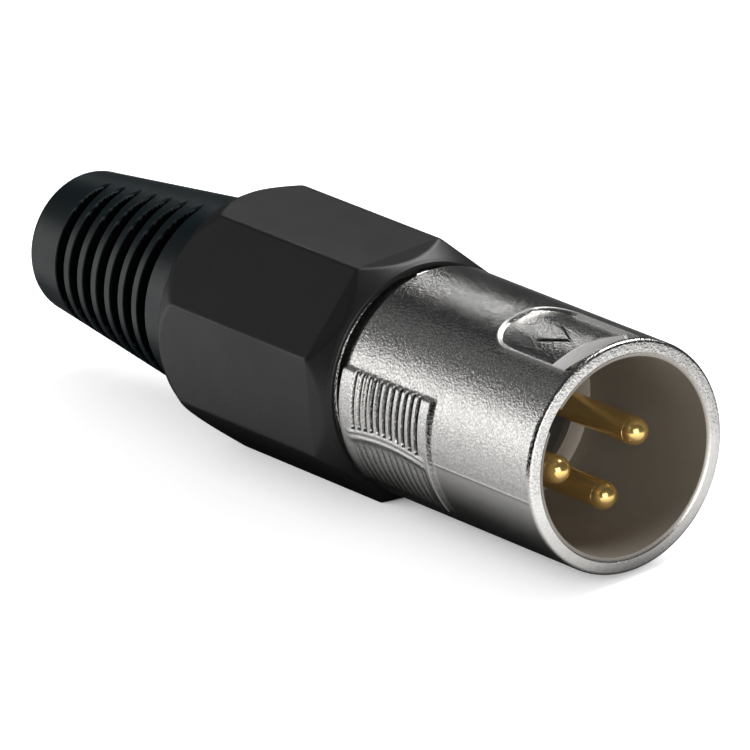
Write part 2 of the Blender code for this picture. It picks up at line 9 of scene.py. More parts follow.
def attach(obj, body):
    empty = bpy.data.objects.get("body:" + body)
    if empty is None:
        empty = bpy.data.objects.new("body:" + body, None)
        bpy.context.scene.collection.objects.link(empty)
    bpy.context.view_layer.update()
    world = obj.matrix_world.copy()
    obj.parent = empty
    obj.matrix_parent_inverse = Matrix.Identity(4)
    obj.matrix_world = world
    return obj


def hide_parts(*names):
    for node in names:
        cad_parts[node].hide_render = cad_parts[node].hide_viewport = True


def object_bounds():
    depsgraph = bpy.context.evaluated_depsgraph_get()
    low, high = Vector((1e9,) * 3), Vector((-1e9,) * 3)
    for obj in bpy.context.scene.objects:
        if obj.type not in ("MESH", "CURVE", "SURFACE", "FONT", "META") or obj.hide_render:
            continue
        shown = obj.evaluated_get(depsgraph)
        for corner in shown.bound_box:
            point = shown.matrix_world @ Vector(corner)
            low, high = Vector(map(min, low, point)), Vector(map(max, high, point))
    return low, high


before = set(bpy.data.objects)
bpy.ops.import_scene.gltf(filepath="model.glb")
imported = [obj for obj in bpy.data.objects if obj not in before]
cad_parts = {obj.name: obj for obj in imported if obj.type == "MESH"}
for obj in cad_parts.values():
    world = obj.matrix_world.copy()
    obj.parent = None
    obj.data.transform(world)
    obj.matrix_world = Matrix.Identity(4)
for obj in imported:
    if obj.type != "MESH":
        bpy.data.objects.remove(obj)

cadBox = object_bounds()
print("plug frame loaded:", ", ".join(sorted(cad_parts)))

# The plug's sizes are in millimetres and depths are counted back from the barrel's rim, so a
# depth is zero or negative. Angles are in degrees round the axis, from straight up towards the
# camera's side. The studio's and the finishes' sizes are in metres.
millimetre = 0.001
rimPlace = round(cadBox[1][0] / millimetre, 3)      # the rim's place on the X axis
latchAngle = 5.0                                    # the latch side's angle


# ---- camera

view = dict(
    place=(0.70781, -0.51032, 0.35700),
    turnDegrees=(67.865, 5.545, 52.609),
    lens=576.0,
)

cameraData = bpy.data.cameras.new("plugCamera")
cameraData.sensor_fit = "HORIZONTAL"
cameraData.sensor_width = 36.0
cameraData.lens = view["lens"]
cameraData.clip_end = 50.0
camera = bpy.data.objects.new("plugCamera", cameraData)
camera.location = view["place"]
camera.rotation_euler = [math.radians(angle) for angle in view["turnDegrees"]]
bpy.context.scene.collection.objects.link(camera)
bpy.context.scene.camera = camera
bpy.context.scene.view_settings.view_transform = "Standard"


# ---- node helpers

def join(tree, source, target):
    tree.links.new(source, target)


def feed(tree, socket, value):
    # a number or a colour is set on the socket, anything else is joined to it
    if isinstance(value, tuple):
        socket.default_value = (*value, 1.0)
    elif isinstance(value, (int, float)):
        socket.default_value = value
    else:
        join(tree, value, socket)


def fill(tree, inputs, given):
    for label, value in given.items():
        feed(tree, inputs[label], value)


def addNode(tree, kind, given):
    # a node with its inputs filled; what comes back is its first output
    node = tree.nodes.new(kind)
    fill(tree, node.inputs, given)
    return node.outputs[0]


def mathNode(tree, operation, first, *others):
    # works on one value, or on several from left to right
    for other in others or (None,):
        node = tree.nodes.new("ShaderNodeMath")
        node.operation = operation
        feed(tree, node.inputs[0], first)
        if other is not None:
            feed(tree, node.inputs[1], other)
        first = node.outputs[0]
    return first


def times(tree, *values):
    return mathNode(tree, "MULTIPLY", *values)


def minus(tree, *values):
    return mathNode(tree, "SUBTRACT", *values)


def rangeNode(tree, value, low, high, toLow, toHigh, smooth=False):
    node = tree.nodes.new("ShaderNodeMapRange")
    if smooth:
        node.interpolation_type = "SMOOTHSTEP"
    fill(tree, node.inputs, {"Value": value, "From Min": low, "From Max": high,
                             "To Min": toLow, "To Max": toHigh})
    return node.outputs["Result"]


def mixColour(tree, factor, first, second):
    node = tree.nodes.new("ShaderNodeMix")
    node.data_type = "RGBA"
    fill(tree, node.inputs, {"Factor": factor, 6: first, 7: second})
    return node.outputs[2]


def vectorNode(tree, operation, vector):
    node = tree.nodes.new("ShaderNodeVectorMath")
    node.operation = operation
    join(tree, vector, node.inputs[0])
    return node


def splitPlace(tree, place):
    node = tree.nodes.new("ShaderNodeSeparateXYZ")
    join(tree, place, node.inputs[0])
    return node.outputs["X"], node.outputs["Y"], node.outputs["Z"]


# ---- floor and light

studio = dict(
    floorHeight=cadBox[0][2] - 0.00002,
    floorReach=8.0,
    floorColour=(0.80, 0.80, 0.80),
    floorRoughness=0.9,
    floorSpecular=0.1,
    floorGlow=1.0,  # what the camera sees the paper add to the lamps' light
    mirroredGlow=0.26,  # what metal and gloss see it add
    frontGlow=(0.018, 0.040, 0.75),  # and add in front of the rim, rising between two X
    glowFade=(0.14, 0.45),  # the glow fades between these distances from the plug
    # painted shade, seen only by metal and gloss: darker behind the plug and under it
    mirroredShadeBehind=(0.015, 0.06, 0.04),  # mirrored paper darkens behind the plug, between two Y
    contactShade=(0.0075, 0.0150, 0.10),  # and under it, from the second |Y| to the first
    shadeFront=(0.014, 0.020),  # that shade ends in front of the rim, between two X
    coverReach=0.05,  # how near the plug covers the paper
    coverShade=0.3,  # how strongly the camera sees that
    surround=(0.032, 0.032, 0.033),
)
softPanels = dict(
    # place, width, height, and how bright the panel looks, whatever its size
    leftPanel=((-0.98, -0.84, 0.26), 0.80, 0.62, 1.72),
    leftHighPanel=((-0.98, -0.36, 0.78), 0.50, 0.60, 0.17),
    backPanel=((-1.10, 0.64, 0.73), 0.16, 0.14, 6.8),
    topPanel=((0.02, 0.86, 1.08), 0.8, 0.8, 8.0),
    frontPanel=((1.25, -0.42, 0.30), 0.86, 0.86, 3.3),
)


def makePanel(name, place, width, height, brightness):
    # a soft panel that faces the plug
    panelData = bpy.data.lights.new(name, "AREA")
    panelData.shape = "RECTANGLE"
    panelData.size = width
    panelData.size_y = height
    panelData.energy = brightness * math.pi * width * height
    panel = bpy.data.objects.new(name, panelData)
    panel.location = place
    panel.rotation_euler = (-Vector(place)).to_track_quat("-Z", "Y").to_euler()
    bpy.context.scene.collection.objects.link(panel)


def makePaper():
    # white paper with a glow of its own, as under an even sky; what metal sees of it is painted
    # with a deeper shade close under the plug, and painted darker behind it
    paper = bpy.data.materials.new("whitePaper")
    paper.use_nodes = True
    tree = paper.node_tree
    surface = tree.nodes["Principled BSDF"]
    rays = tree.nodes.new("ShaderNodeLightPath").outputs
    mirrored = mathNode(tree, "MAXIMUM", rays["Is Glossy Ray"], rays["Is Transmission Ray"])
    place = tree.nodes.new("ShaderNodeTexCoord").outputs["Object"]
    alongX, alongY, _ = splitPlace(tree, place)
    cover = tree.nodes.new("ShaderNodeAmbientOcclusion")
    cover.samples = 8
    cover.inputs["Distance"].default_value = studio["coverReach"]
    sky = cover.outputs["AO"]

    nearest, clear, darkest = studio["contactShade"]
    aside = mathNode(tree, "ABSOLUTE", alongY)
    shade = rangeNode(tree, aside, nearest, clear, darkest, 1.0, smooth=True)
    ahead = rangeNode(tree, alongX, *studio["shadeFront"], 0.0, 1.0)
    # painted shade: behind the plug the paper that metal sees is darker
    start, end, dark = studio["mirroredShadeBehind"]
    edge = rangeNode(tree, alongY, start, end, 1.0, dark)
    shade = times(tree, mathNode(tree, "MAXIMUM", shade, ahead), edge, sky)
    lack = times(tree, minus(tree, 1.0, shade), mirrored)

    start, end, added = studio["frontGlow"]
    front = rangeNode(tree, alongX, start, end, 0.0, added)
    front = mathNode(tree, "ADD", front, studio["mirroredGlow"])
    toMetal = times(tree, mirrored, front, minus(tree, 1.0, lack), sky)
    toCamera = times(tree, rays["Is Camera Ray"], studio["floorGlow"],
                     mathNode(tree, "POWER", sky, studio["coverShade"]))
    distance = vectorNode(tree, "LENGTH", place).outputs["Value"]
    fade = rangeNode(tree, distance, *studio["glowFade"], 1.0, 0.0)
    seen = times(tree, mathNode(tree, "ADD", toMetal, toCamera), fade)
    glow = addNode(tree, "ShaderNodeEmission", {"Strength": seen})
    fill(tree, surface.inputs, {
        "Base Color": mixColour(tree, lack, studio["floorColour"], (0.0, 0.0, 0.0)),
        "Roughness": studio["floorRoughness"], "Specular IOR Level": studio["floorSpecular"]})
    together = addNode(tree, "ShaderNodeAddShader", {0: surface.outputs["BSDF"], 1: glow})
    join(tree, together, tree.nodes["Material Output"].inputs["Surface"])
    return paper


def makeStudio():
    for name, values in softPanels.items():
        makePanel(name, *values)

    world = bpy.data.worlds.new("studioSurround")
    world.use_nodes = True
    background = world.node_tree.nodes["Background"]
    background.inputs["Color"].default_value = (*studio["surround"], 1.0)
    background.inputs["Strength"].default_value = 1.0
    bpy.context.scene.world = world

    floorMesh = bpy.data.meshes.new("studioFloor")
    form = bmesh.new()
    bmesh.ops.create_circle(form, cap_ends=True, segments=64, radius=studio["floorReach"])
    form.to_mesh(floorMesh)
    form.free()
    floorMesh.transform(Matrix.Translation((0.0, 0.0, studio["floorHeight"])))
    floorMesh.materials.append(makePaper())
    floor = bpy.data.objects.new("studioFloor", floorMesh)
    bpy.context.scene.collection.objects.link(floor)


makeStudio()
print("studio ready")


# ---- finishes

def addSocket(tree, label, kind, side="INPUT"):
    return tree.interface.new_socket(label, in_out=side, socket_type="NodeSocket" + kind)


def newGroup(name, values, results):
    # a shader group that takes a place and named numbers
    group = bpy.data.node_groups.new(name, "ShaderNodeTree")
    addSocket(group, "Place", "Vector")
    for label, value in values.items():
        addSocket(group, label, "Float").default_value = value
    for label in results:
        addSocket(group, label, "Float", "OUTPUT")
    leave = group.nodes.new("NodeGroupOutput").inputs
    return group, group.nodes.new("NodeGroupInput").outputs, leave


def makeGrainGroup():
    # a fine pebbled height and a speckle, for cast metal and moulded plastic
    group, given, leave = newGroup(
        "fineGrain", {"Grains per metre": 6000.0, "Unevenness": 0.5, "Broad share": 0.31},
        ("Height", "Speckle"))
    place, grains = given["Place"], given["Grains per metre"]
    fine = addNode(group, "ShaderNodeTexNoise", {
        "Vector": place, "Scale": grains, "Detail": 2.0, "Roughness": 0.6})
    broad = addNode(group, "ShaderNodeTexNoise", {
        "Vector": place, "Scale": times(group, grains, given["Broad share"]), "Detail": 1.0})
    wave = times(group, broad, given["Unevenness"])
    fill(group, leave, {"Height": mathNode(group, "ADD", fine, wave),
                        "Speckle": rangeNode(group, fine, 0.32, 0.70, 0.0, 1.0)})
    return group


def makeHandlingGroup():
    # broad smears, which change roughness and tone a little
    group, given, leave = newGroup("handling", {"Patches per metre": 160.0}, ("Smear",))
    broad = addNode(group, "ShaderNodeTexNoise", {
        "Vector": given["Place"], "Scale": given["Patches per metre"], "Detail": 3.0})
    fill(group, leave, {"Smear": rangeNode(group, broad, 0.3, 0.7, 0.0, 1.0)})
    return group


grainGroup = makeGrainGroup()
handlingGroup = makeHandlingGroup()


def useGroup(tree, group, given):
    node = tree.nodes.new("ShaderNodeGroup")
    node.node_tree = group
    fill(tree, node.inputs, given)
    return node.outputs


def startFinish(name, metallic, grains, patches, unevenness=0.5):
    # a material with both groups placed on object coordinates
    material = bpy.data.materials.new(name)
    material.use_nodes = True
    tree = material.node_tree
    place = tree.nodes.new("ShaderNodeTexCoord").outputs["Object"]
    grain = useGroup(tree, grainGroup, {
        "Place": place, "Grains per metre": grains, "Unevenness": unevenness})
    handling = useGroup(tree, handlingGroup, {"Place": place, "Patches per metre": patches})
    surface = tree.nodes["Principled BSDF"].inputs
    surface["Metallic"].default_value = metallic
    return material, tree, surface, place, grain, handling["Smear"]


def addBump(tree, surface, height, distance):
    bump = {"Height": height, "Distance": distance, "Strength": 1.0}
    join(tree, addNode(tree, "ShaderNodeBump", bump), surface["Normal"])


def readMark(tree, name):
    mark = tree.nodes.new("ShaderNodeAttribute")
    mark.attribute_name = name
    return mark.outputs["Fac"]


nickelFinish = dict(
    plate=(0.74, 0.73, 0.71),
    grains=5200.0,
    grainHeight=0.000044,
    unevenness=0.12,
    patches=170.0,
    sparkle=(0.66, 1.05),  # how much the grain darkens and brightens the plate
    # the grain also varies the painted shade in the soil mark
    patchy=(1.4, 0.6),  # and how much it thickens and thins the soil
    roughness=(0.21, 0.27),
    underEdge=(-0.0012, 0.0002),  # below the parting line the grain is weaker
    underGrain=0.35,
    boreEdge=(0.00815, 0.00850),  # inside these radii the plate is the bore's
    # painted shade: inside the bore the plate is darker, and it is rougher and less metallic
    paintedBoreShade=(0.43, 0.39, 0.335),
    boreRoughness=0.62,
    boreMetal=0.55,
    # the near-black of soil and of painted shade
    soilAndShade=(0.018, 0.017, 0.015),
    soilAndShadeMost=0.97,
    # worn places and painted highlights both take this pale, rough, less metallic plate
    paleWearAndHighlight=(0.93, 0.92, 0.90),  # worn edges are rougher and paler
    wearAndHighlightRoughness=0.5,
    wearAndHighlightPale=0.45,
)


def makeNickel():
    # blasted nickel plate: grainy above the parting line, smoother below it, painted darker in
    # the bore
    look = nickelFinish
    material, tree, surface, place, grain, smear = startFinish(
        "satinNickel", 1.0, look["grains"], look["patches"], look["unevenness"])
    _, alongY, alongZ = splitPlace(tree, place)
    across = mathNode(tree, "ADD", times(tree, alongY, alongY), times(tree, alongZ, alongZ))
    inBore = rangeNode(tree, mathNode(tree, "SQRT", across), *look["boreEdge"], 1.0, 0.0)
    under = rangeNode(tree, alongZ, *look["underEdge"], look["underGrain"], 1.0)
    soilAndShade, wearAndHighlight = readMark(tree, "soilAndShade"), readMark(tree, "wearAndHighlight")

    dim, full = (tuple(share * part for part in look["plate"]) for share in look["sparkle"])
    dips = times(tree, minus(tree, 1.0, grain["Speckle"]), under)
    colour = mixColour(tree, dips, full, dim)
    # painted shade in the bore
    colour = mixColour(tree, inBore, colour, look["paintedBoreShade"])
    # wear and painted highlights make the plate paler
    colour = mixColour(tree, wearAndHighlight, colour, look["paleWearAndHighlight"])
    # soil and painted shade darken the plate towards near-black
    patchy = rangeNode(tree, grain["Speckle"], 0.25, 0.75, *look["patchy"])
    patchy = mathNode(tree, "MINIMUM", times(tree, soilAndShade, patchy), look["soilAndShadeMost"])
    gloss = rangeNode(tree, smear, 0.0, 1.0, *look["roughness"])
    gloss = mathNode(tree, "MAXIMUM", gloss, times(tree, wearAndHighlight, look["wearAndHighlightRoughness"]),
                     times(tree, inBore, look["boreRoughness"]))
    metal = minus(tree, rangeNode(tree, inBore, 0.0, 1.0, 1.0, look["boreMetal"]),
                  times(tree, wearAndHighlight, look["wearAndHighlightPale"]))
    fill(tree, surface, {"Base Color": mixColour(tree, patchy, colour, look["soilAndShade"]),
                         "Roughness": gloss, "Metallic": metal})
    addBump(tree, surface, times(tree, grain["Height"], under), look["grainHeight"])
    return material


wallHighlightFinish = dict(
    grains=5200.0, patches=400.0, dark=(0.94, 0.93, 0.92), light=(1.0, 0.99, 0.98),
    roughness=0.5, grainHeight=0.00002,
)


def makeWallHighlight():
    # a painted highlight: the window's rear wall is made near-white and matt
    look = wallHighlightFinish
    material, tree, surface, _, grain, _ = startFinish(
        "paintedWallHighlight", 0.0, look["grains"], look["patches"])
    fill(tree, surface, {
        "Base Color": mixColour(tree, grain["Speckle"], look["dark"], look["light"]),
        "Roughness": look["roughness"]})
    addBump(tree, surface, grain["Height"], look["grainHeight"])
    return material


goldFinish = dict(
    plate=(1.0, 0.68, 0.24), metal=0.8, roughness=(0.15, 0.24),
    grains=9000.0, patches=500.0,
    rings=9000.0, ringHeight=0.5, grainHeight=0.6, relief=0.0000035,
)


def makeGold():
    # bright gold plate with the faint rings that turning leaves
    look = goldFinish
    material, tree, surface, place, grain, smear = startFinish(
        "goldPlate", look["metal"], look["grains"], look["patches"])
    fill(tree, surface, {"Base Color": look["plate"],
                         "Roughness": rangeNode(tree, smear, 0.0, 1.0, *look["roughness"])})
    rings = tree.nodes.new("ShaderNodeTexNoise")
    rings.noise_dimensions = "1D"
    fill(tree, rings.inputs, {
        "Scale": look["rings"], "Detail": 1.0, "W": splitPlace(tree, place)[0]})
    height = mathNode(tree, "ADD", times(tree, rings.outputs["Fac"], look["ringHeight"]),
                      times(tree, grain["Height"], look["grainHeight"]))
    addBump(tree, surface, height, look["relief"])
    return material


def makeMoulded(name, dark, light, roughness, grains, grainHeight,
                specular=0.5, metallic=0.0, patches=150.0):
    # a fine grain and uneven gloss: the first roughness is where the colour is light
    material, tree, surface, _, grain, smear = startFinish(name, metallic, grains, patches)
    low, high = roughness
    fill(tree, surface, {"Base Color": mixColour(tree, smear, dark, light),
                         "Roughness": rangeNode(tree, smear, 0.0, 1.0, high, low),
                         "Specular IOR Level": specular})
    addBump(tree, surface, grain["Height"], grainHeight)
    return material


satinNickel = makeNickel()
paintedWallHighlight = makeWallHighlight()
goldPlate = makeGold()
tinnedBrass = makeMoulded(
    "tinnedBrass", (0.62, 0.61, 0.58), (0.72, 0.71, 0.68), (0.45, 0.28),
    5000.0, 0.000006, metallic=1.0, patches=300.0)
insulatorPlastic = makeMoulded(
    "insulatorPlastic", (0.030, 0.029, 0.028), (0.038, 0.037, 0.035), (0.50, 0.62),
    7000.0, 0.000010)
clampPlastic = makeMoulded(
    "clampPlastic", (0.05, 0.05, 0.05), (0.065, 0.065, 0.063), (0.42, 0.55), 6000.0, 0.000010)
collarPlastic = makeMoulded(
    "collarPlastic", (0.0155, 0.016, 0.0155), (0.019, 0.0195, 0.019), (0.34, 0.42),
    5200.0, 0.000009, specular=0.41)
bootRubber = makeMoulded(
    "bootRubber", (0.004, 0.011, 0.0125), (0.006, 0.014, 0.017), (0.31, 0.40),
    5600.0, 0.000012, specular=0.43)
paintedGrooveShade = makeMoulded(
    "paintedGrooveShade", (0.0012, 0.0013, 0.0014), (0.0018, 0.0019, 0.0020), (0.85, 0.95),
    5600.0, 0.000012, specular=0.04)
print("finishes ready")


# ---- shaping helpers

def smoothStep(low, high, value):
    share = np.clip((value - low) / (high - low), 0.0, 1.0)
    return share * share * (3.0 - 2.0 * share)


def hump(value, middle, width):
    return np.exp(-((value - middle) / width) ** 2)


def softMin(first, second, blend):
    share = np.clip(0.5 + 0.5 * (second - first) / blend, 0.0, 1.0)
    return second * (1.0 - share) + first * share - blend * share * (1.0 - share)


def wrapAngle(angle):
    return (angle + 180.0) % 360.0 - 180.0


def fromLatch(angle):
    return np.abs(wrapAngle(angle - latchAngle))


def sideways(angle):
    # the distance round from the latch side's middle
    return np.radians(wrapAngle(angle - latchAngle)) * barrel["radius"]


def between(marks, steps):
    # stretches from each mark to the next, for spaced
    return list(zip(marks[:-1], marks[1:], steps))


def spaced(stretches):
    # numbers from start to end of each stretch, with about the given step
    values = []
    for start, end, step in stretches:
        count = max(1, round(abs(end - start) / step))
        values.extend(start + (end - start) * index / count for index in range(count))
    values.append(stretches[-1][1])
    return np.array(values)


def arcRows(depth, radius, size, start, end, steps):
    # rows of a rounding, by angles in degrees from the mating direction
    rows = []
    for step in range(steps + 1):
        angle = math.radians(start + (end - start) * step / steps)
        rows.append((depth + size * math.cos(angle), radius + size * math.sin(angle)))
    return rows


def addMesh(name, mesh, material=None):
    thing = bpy.data.objects.new(name, mesh)
    bpy.context.scene.collection.objects.link(thing)
    if material is not None:
        mesh.materials.clear()
        mesh.materials.append(material)
    return thing


def smoothMesh(mesh, sharp):
    mesh.shade_smooth()
    mesh.set_sharp_from_angle(angle=math.radians(sharp))


def settle(thing):
    # what the modifiers make becomes the thing's own plain mesh
    bpy.context.view_layer.update()
    shaped = thing.evaluated_get(bpy.context.evaluated_depsgraph_get())
    settled = bpy.data.meshes.new_from_object(shaped)
    thing.modifiers.clear()
    thing.data = settled


def turnedSkin(name, rows, angles, material, marks=None, centre=(0.0, 0.0), closed=True,
               sharp=38.0):
    # a skin round the axis from rows of (depth, radius), each one number or one for each angle;
    # a mark is a value for every point, which the material reads
    turn = np.radians(angles)
    grid = np.empty((len(rows), len(angles), 3))
    for index, (depth, radius) in enumerate(rows):
        grid[index, :, 0] = np.asarray(depth) + rimPlace
        grid[index, :, 1] = -np.sin(turn) * radius + centre[0]
        grid[index, :, 2] = np.cos(turn) * radius + centre[1]
    rowCount, count = grid.shape[:2]
    last = rowCount if closed else rowCount - 1
    this = np.arange(last)[:, None] * count
    below = ((np.arange(last) + 1) % rowCount)[:, None] * count
    across = np.arange(count)[None, :]
    beside = (np.arange(count)[None, :] + 1) % count
    faces = np.stack([this + across, below + across, below + beside, this + beside], axis=-1)
    mesh = bpy.data.meshes.new(name)
    points = (grid.reshape(-1, 3) * millimetre).tolist()
    mesh.from_pydata(points, [], faces.reshape(-1, 4).tolist())
    for label, values in (marks or {}).items():
        mark = mesh.attributes.new(label, "FLOAT", "POINT")
        mark.data.foreach_set("value", np.array(values).reshape(-1).astype(np.float32))
    if any(np.ndim(radius) == 0 and radius == 0.0 for depth, radius in rows):
        # rows on the axis close to one point
        form = bmesh.new()
        form.from_mesh(mesh)
        bmesh.ops.remove_doubles(form, verts=form.verts, dist=0.0000005)
        form.to_mesh(mesh)
        form.free()
    smoothMesh(mesh, sharp)
    return addMesh(name, mesh, material)


def cutAway(thing, cutter, sharp):
    # cuts one closed shape from another for good
    modifier = thing.modifiers.new("cut", "BOOLEAN")
    modifier.operation = "DIFFERENCE"
    modifier.solver = "EXACT"
    modifier.object = cutter
    settle(thing)
    bpy.data.objects.remove(cutter, do_unlink=True)
    smoothMesh(thing.data, sharp)


def straightCutter(name, outline, low, high, turnDegrees=0.0, centre=(0.0, 0.0)):
    # a prism on the axis: the outline's points are (depth, sideways), low and high are radii
    form = bmesh.new()
    bottom = [form.verts.new((depth + rimPlace, side, low)) for depth, side in outline]
    top = [form.verts.new((depth + rimPlace, side, high)) for depth, side in outline]
    form.faces.new(bottom)
    form.faces.new(list(reversed(top)))
    for index in range(len(outline)):
        following = (index + 1) % len(outline)
        form.faces.new((bottom[index], top[index], top[following], bottom[following]))
    bmesh.ops.recalc_face_normals(form, faces=form.faces)
    mesh = bpy.data.meshes.new(name)
    form.to_mesh(mesh)
    form.free()
    mesh.transform(Matrix.Scale(millimetre, 4))
    shift = Matrix.Translation((0.0, centre[0] * millimetre, centre[1] * millimetre))
    mesh.transform(shift @ Matrix.Rotation(math.radians(turnDegrees), 4, "X"))
    return addMesh(name, mesh)


# ---- barrel

barrel = dict(
    radius=9.5, rimRounding=0.3, shoulder=-24.0, shoulderRounding=0.18,
    bore=8.1, mouthWidth=0.35, mouthDepth=0.15, mouthEdge=0.02,
    shelfDepth=-15.0, shelfChamfer=0.4, shelfEdge=0.18, seat=6.75, seatEdge=0.06,
    step=-22.0, rearBore=7.65, neck=8.6, neckEnd=-38.0, neckEdge=0.25,
    keywayEdge=0.04, ringDepth=-2.0, sharp=42.0,
    straightEnd=-23.0,  # behind this the surface stretches to the shoulder
    partingHeight=0.028, partingWidth=0.55, partingEnd=(-13.1, -12.4),
    # the plating is pitted and dark along a stretch of the rim's outer edge
    pitStart=(50.0, 56.0), pitEnd=(76.0, 84.0), pitDepths=(-0.12, -0.5),
    # start, end and step, with close steps where there is relief
    angleSteps=(
        (-17.6, 27.6, 0.43), (27.6, 43.0, 3.0), (43.0, 59.2, 0.8), (59.2, 62.8, 1.8),
        (62.8, 94.0, 0.8), (94.0, 96.0, 0.34), (96.0, 128.0, 0.9), (128.0, 242.0, 3.6),
        (242.0, 274.0, 0.9), (274.0, 276.0, 0.34), (276.0, 307.2, 0.8), (307.2, 342.4, 3.2)),
    depthSteps=(
        (-0.42, -11.4, 0.105), (-11.4, -12.3, 0.3), (-12.3, -13.1, 0.1),
        (-13.1, -23.1, 0.102), (-23.1, -23.8, 0.23)),
)
gripPad = dict(
    height=0.22, top=58.3, bottom=121.7, edge=2.4, foot=-12.4, land=-13.0,
    rear=-24.3, rearEnds=(0.6, 1.8), grooves=11, pitch=0.82, firstGroove=-22.47,
    grooveWidth=0.41, wall=0.11, deep=0.40, thinWidth=0.11, shallow=0.08,
    panelMargin=(0.5, 0.9),
    # the deep grooves lie above an arch and the thin ones below it
    arch=85.8, archRise=2.6, archReach=4.4, archMost=3.2,
    upperStart=(0.8, 2.4), upperEnd=(-1.4, 0.0),
    lowerStart=(8.0, 9.5), lowerEnd=(115.0, 119.5),
    # past the arch: ribs by place, width and share of the height, then a step down
    ribs=((0.9, 0.75, 1.0), (3.9, 0.70, 0.9)), ribHeight=0.07, step=(5.2, 6.4),
    thinDarkening=0.6, stepDarkening=0.35, stepDarkeningEnd=(6.6, 8.5),
    footDarkening=0.75, footSides=0.6, footFade=0.5, footClean=(88.0, 92.0),
    ribWear=0.8, landWear=(-13.05, 0.09), landWearStart=(90.0, 94.0),
)
latchPocket = dict(
    halfWidth=3.65, rear=-11.1, front=-0.50, corner=2.75, depth=0.30,
    slope=(-0.02, 0.26), lip=0.022, lipPlace=(-0.04, 0.09),
    # the painted highlight lines' middle and width, counted in from the outline
    edgeHighlight=(-0.02, 0.085), edgeHighlightFront=0.4,
    farHighlight=(0.12, 0.13), farHighlightSide=0.6, farHighlightRear=(-8.6, -8.0),
    farHighlightFront=0.2,
    windowRear=-2.62, windowSkew=0.9, windowFront=-0.58, windowCorner=0.55,
    windowMargin=0.1, windowCut=(7.2, 10.5), wallLean=0.75,
    wallFoot=0.05,
)
arrow = dict(
    tip=-4.12, base=-6.85, half=1.3, baseReach=2.6, height=0.12, turn=2.6,
    wall=0.06, tipReach=-0.1, edgeEnd=0.97,
    footShadeAndSoil=(-0.05, 0.07), nearShadeAndSoil=0.9, farShadeAndSoil=0.4,
    edgeHighlight=(0.09, 0.05), highlightShare=0.6, highlightStart=0.3,
)
keyway = {"middle": 51.0, "halfWidth": 7.2, "edge": 1.0, "depth": 0.32, "mouth": 0.03}


# each relief gives its height, its soil and painted shade, and its wear and painted highlights,
# at one depth and every angle

def gripRelief(depth, angle):
    # raised pads on both sides, with a deep and a shallow row of grooves and an arch between
    pad = gripPad
    away = fromLatch(angle)
    onSides = np.minimum(away - pad["top"], pad["bottom"] - away) / pad["edge"]
    onFoot = (pad["foot"] - depth) / (pad["foot"] - pad["land"])
    edge = np.clip(np.minimum(onSides, onFoot), 0.0, 1.0)

    lastGroove = pad["firstGroove"] + (pad["grooves"] - 1) * pad["pitch"]
    middle = (pad["firstGroove"] + lastGroove) / 2
    rise = pad["archRise"] * ((depth - middle) / pad["archReach"]) ** 2
    pastArch = away - pad["arch"] - np.minimum(rise, pad["archMost"])
    nearest = np.round((depth - pad["firstGroove"]) / pad["pitch"])
    nearest = np.clip(nearest, 0, pad["grooves"] - 1)
    offset = np.abs(depth - pad["firstGroove"] - nearest * pad["pitch"])
    half, wall = pad["grooveWidth"] / 2, pad["wall"] / 2
    groove = 1.0 - smoothStep(half - wall, half + wall, offset)
    groove = groove * smoothStep(*pad["upperStart"], away - pad["top"])
    groove = groove * (1.0 - smoothStep(*pad["upperEnd"], pastArch))
    thin = hump(offset, 0.0, pad["thinWidth"]) * smoothStep(*pad["lowerStart"], pastArch)
    thin = thin * (1.0 - smoothStep(*pad["lowerEnd"], away))

    near, far = pad["panelMargin"]
    inPanel = smoothStep(-far, -near, depth - pad["firstGroove"])
    inPanel = inPanel * (1.0 - smoothStep(near, far, depth - lastGroove))
    ribs = sum(share * hump(pastArch, place, width) for place, width, share in pad["ribs"])
    step = smoothStep(*pad["step"], pastArch) * inPanel * edge
    height = pad["height"] * edge - groove * pad["deep"] - thin * pad["shallow"]
    height = height + pad["ribHeight"] * (ribs * inPanel * edge - step)

    # darker in the grooves, at the step past the arch and on the pads' foot slope
    soilAndShade = groove + pad["thinDarkening"] * thin
    soilAndShade = soilAndShade + pad["stepDarkening"] * step * (1.0 - smoothStep(*pad["stepDarkeningEnd"], pastArch))
    onSlope = np.clip(onFoot * (1.0 - onFoot) * 4.0, 0.0, 1.0) * (onSides > pad["footSides"])
    fade = 1.0 - pad["footFade"] * smoothStep(*pad["footClean"], away)
    soilAndShade = soilAndShade + pad["footDarkening"] * onSlope * fade
    wearAndHighlight = pad["ribWear"] * ribs * inPanel
    wearAndHighlight = wearAndHighlight + hump(depth, *pad["landWear"]) * smoothStep(*pad["landWearStart"], away)
    return height, np.clip(soilAndShade, 0.0, 1.0), np.clip(wearAndHighlight * (edge > 0.5), 0.0, 1.0)


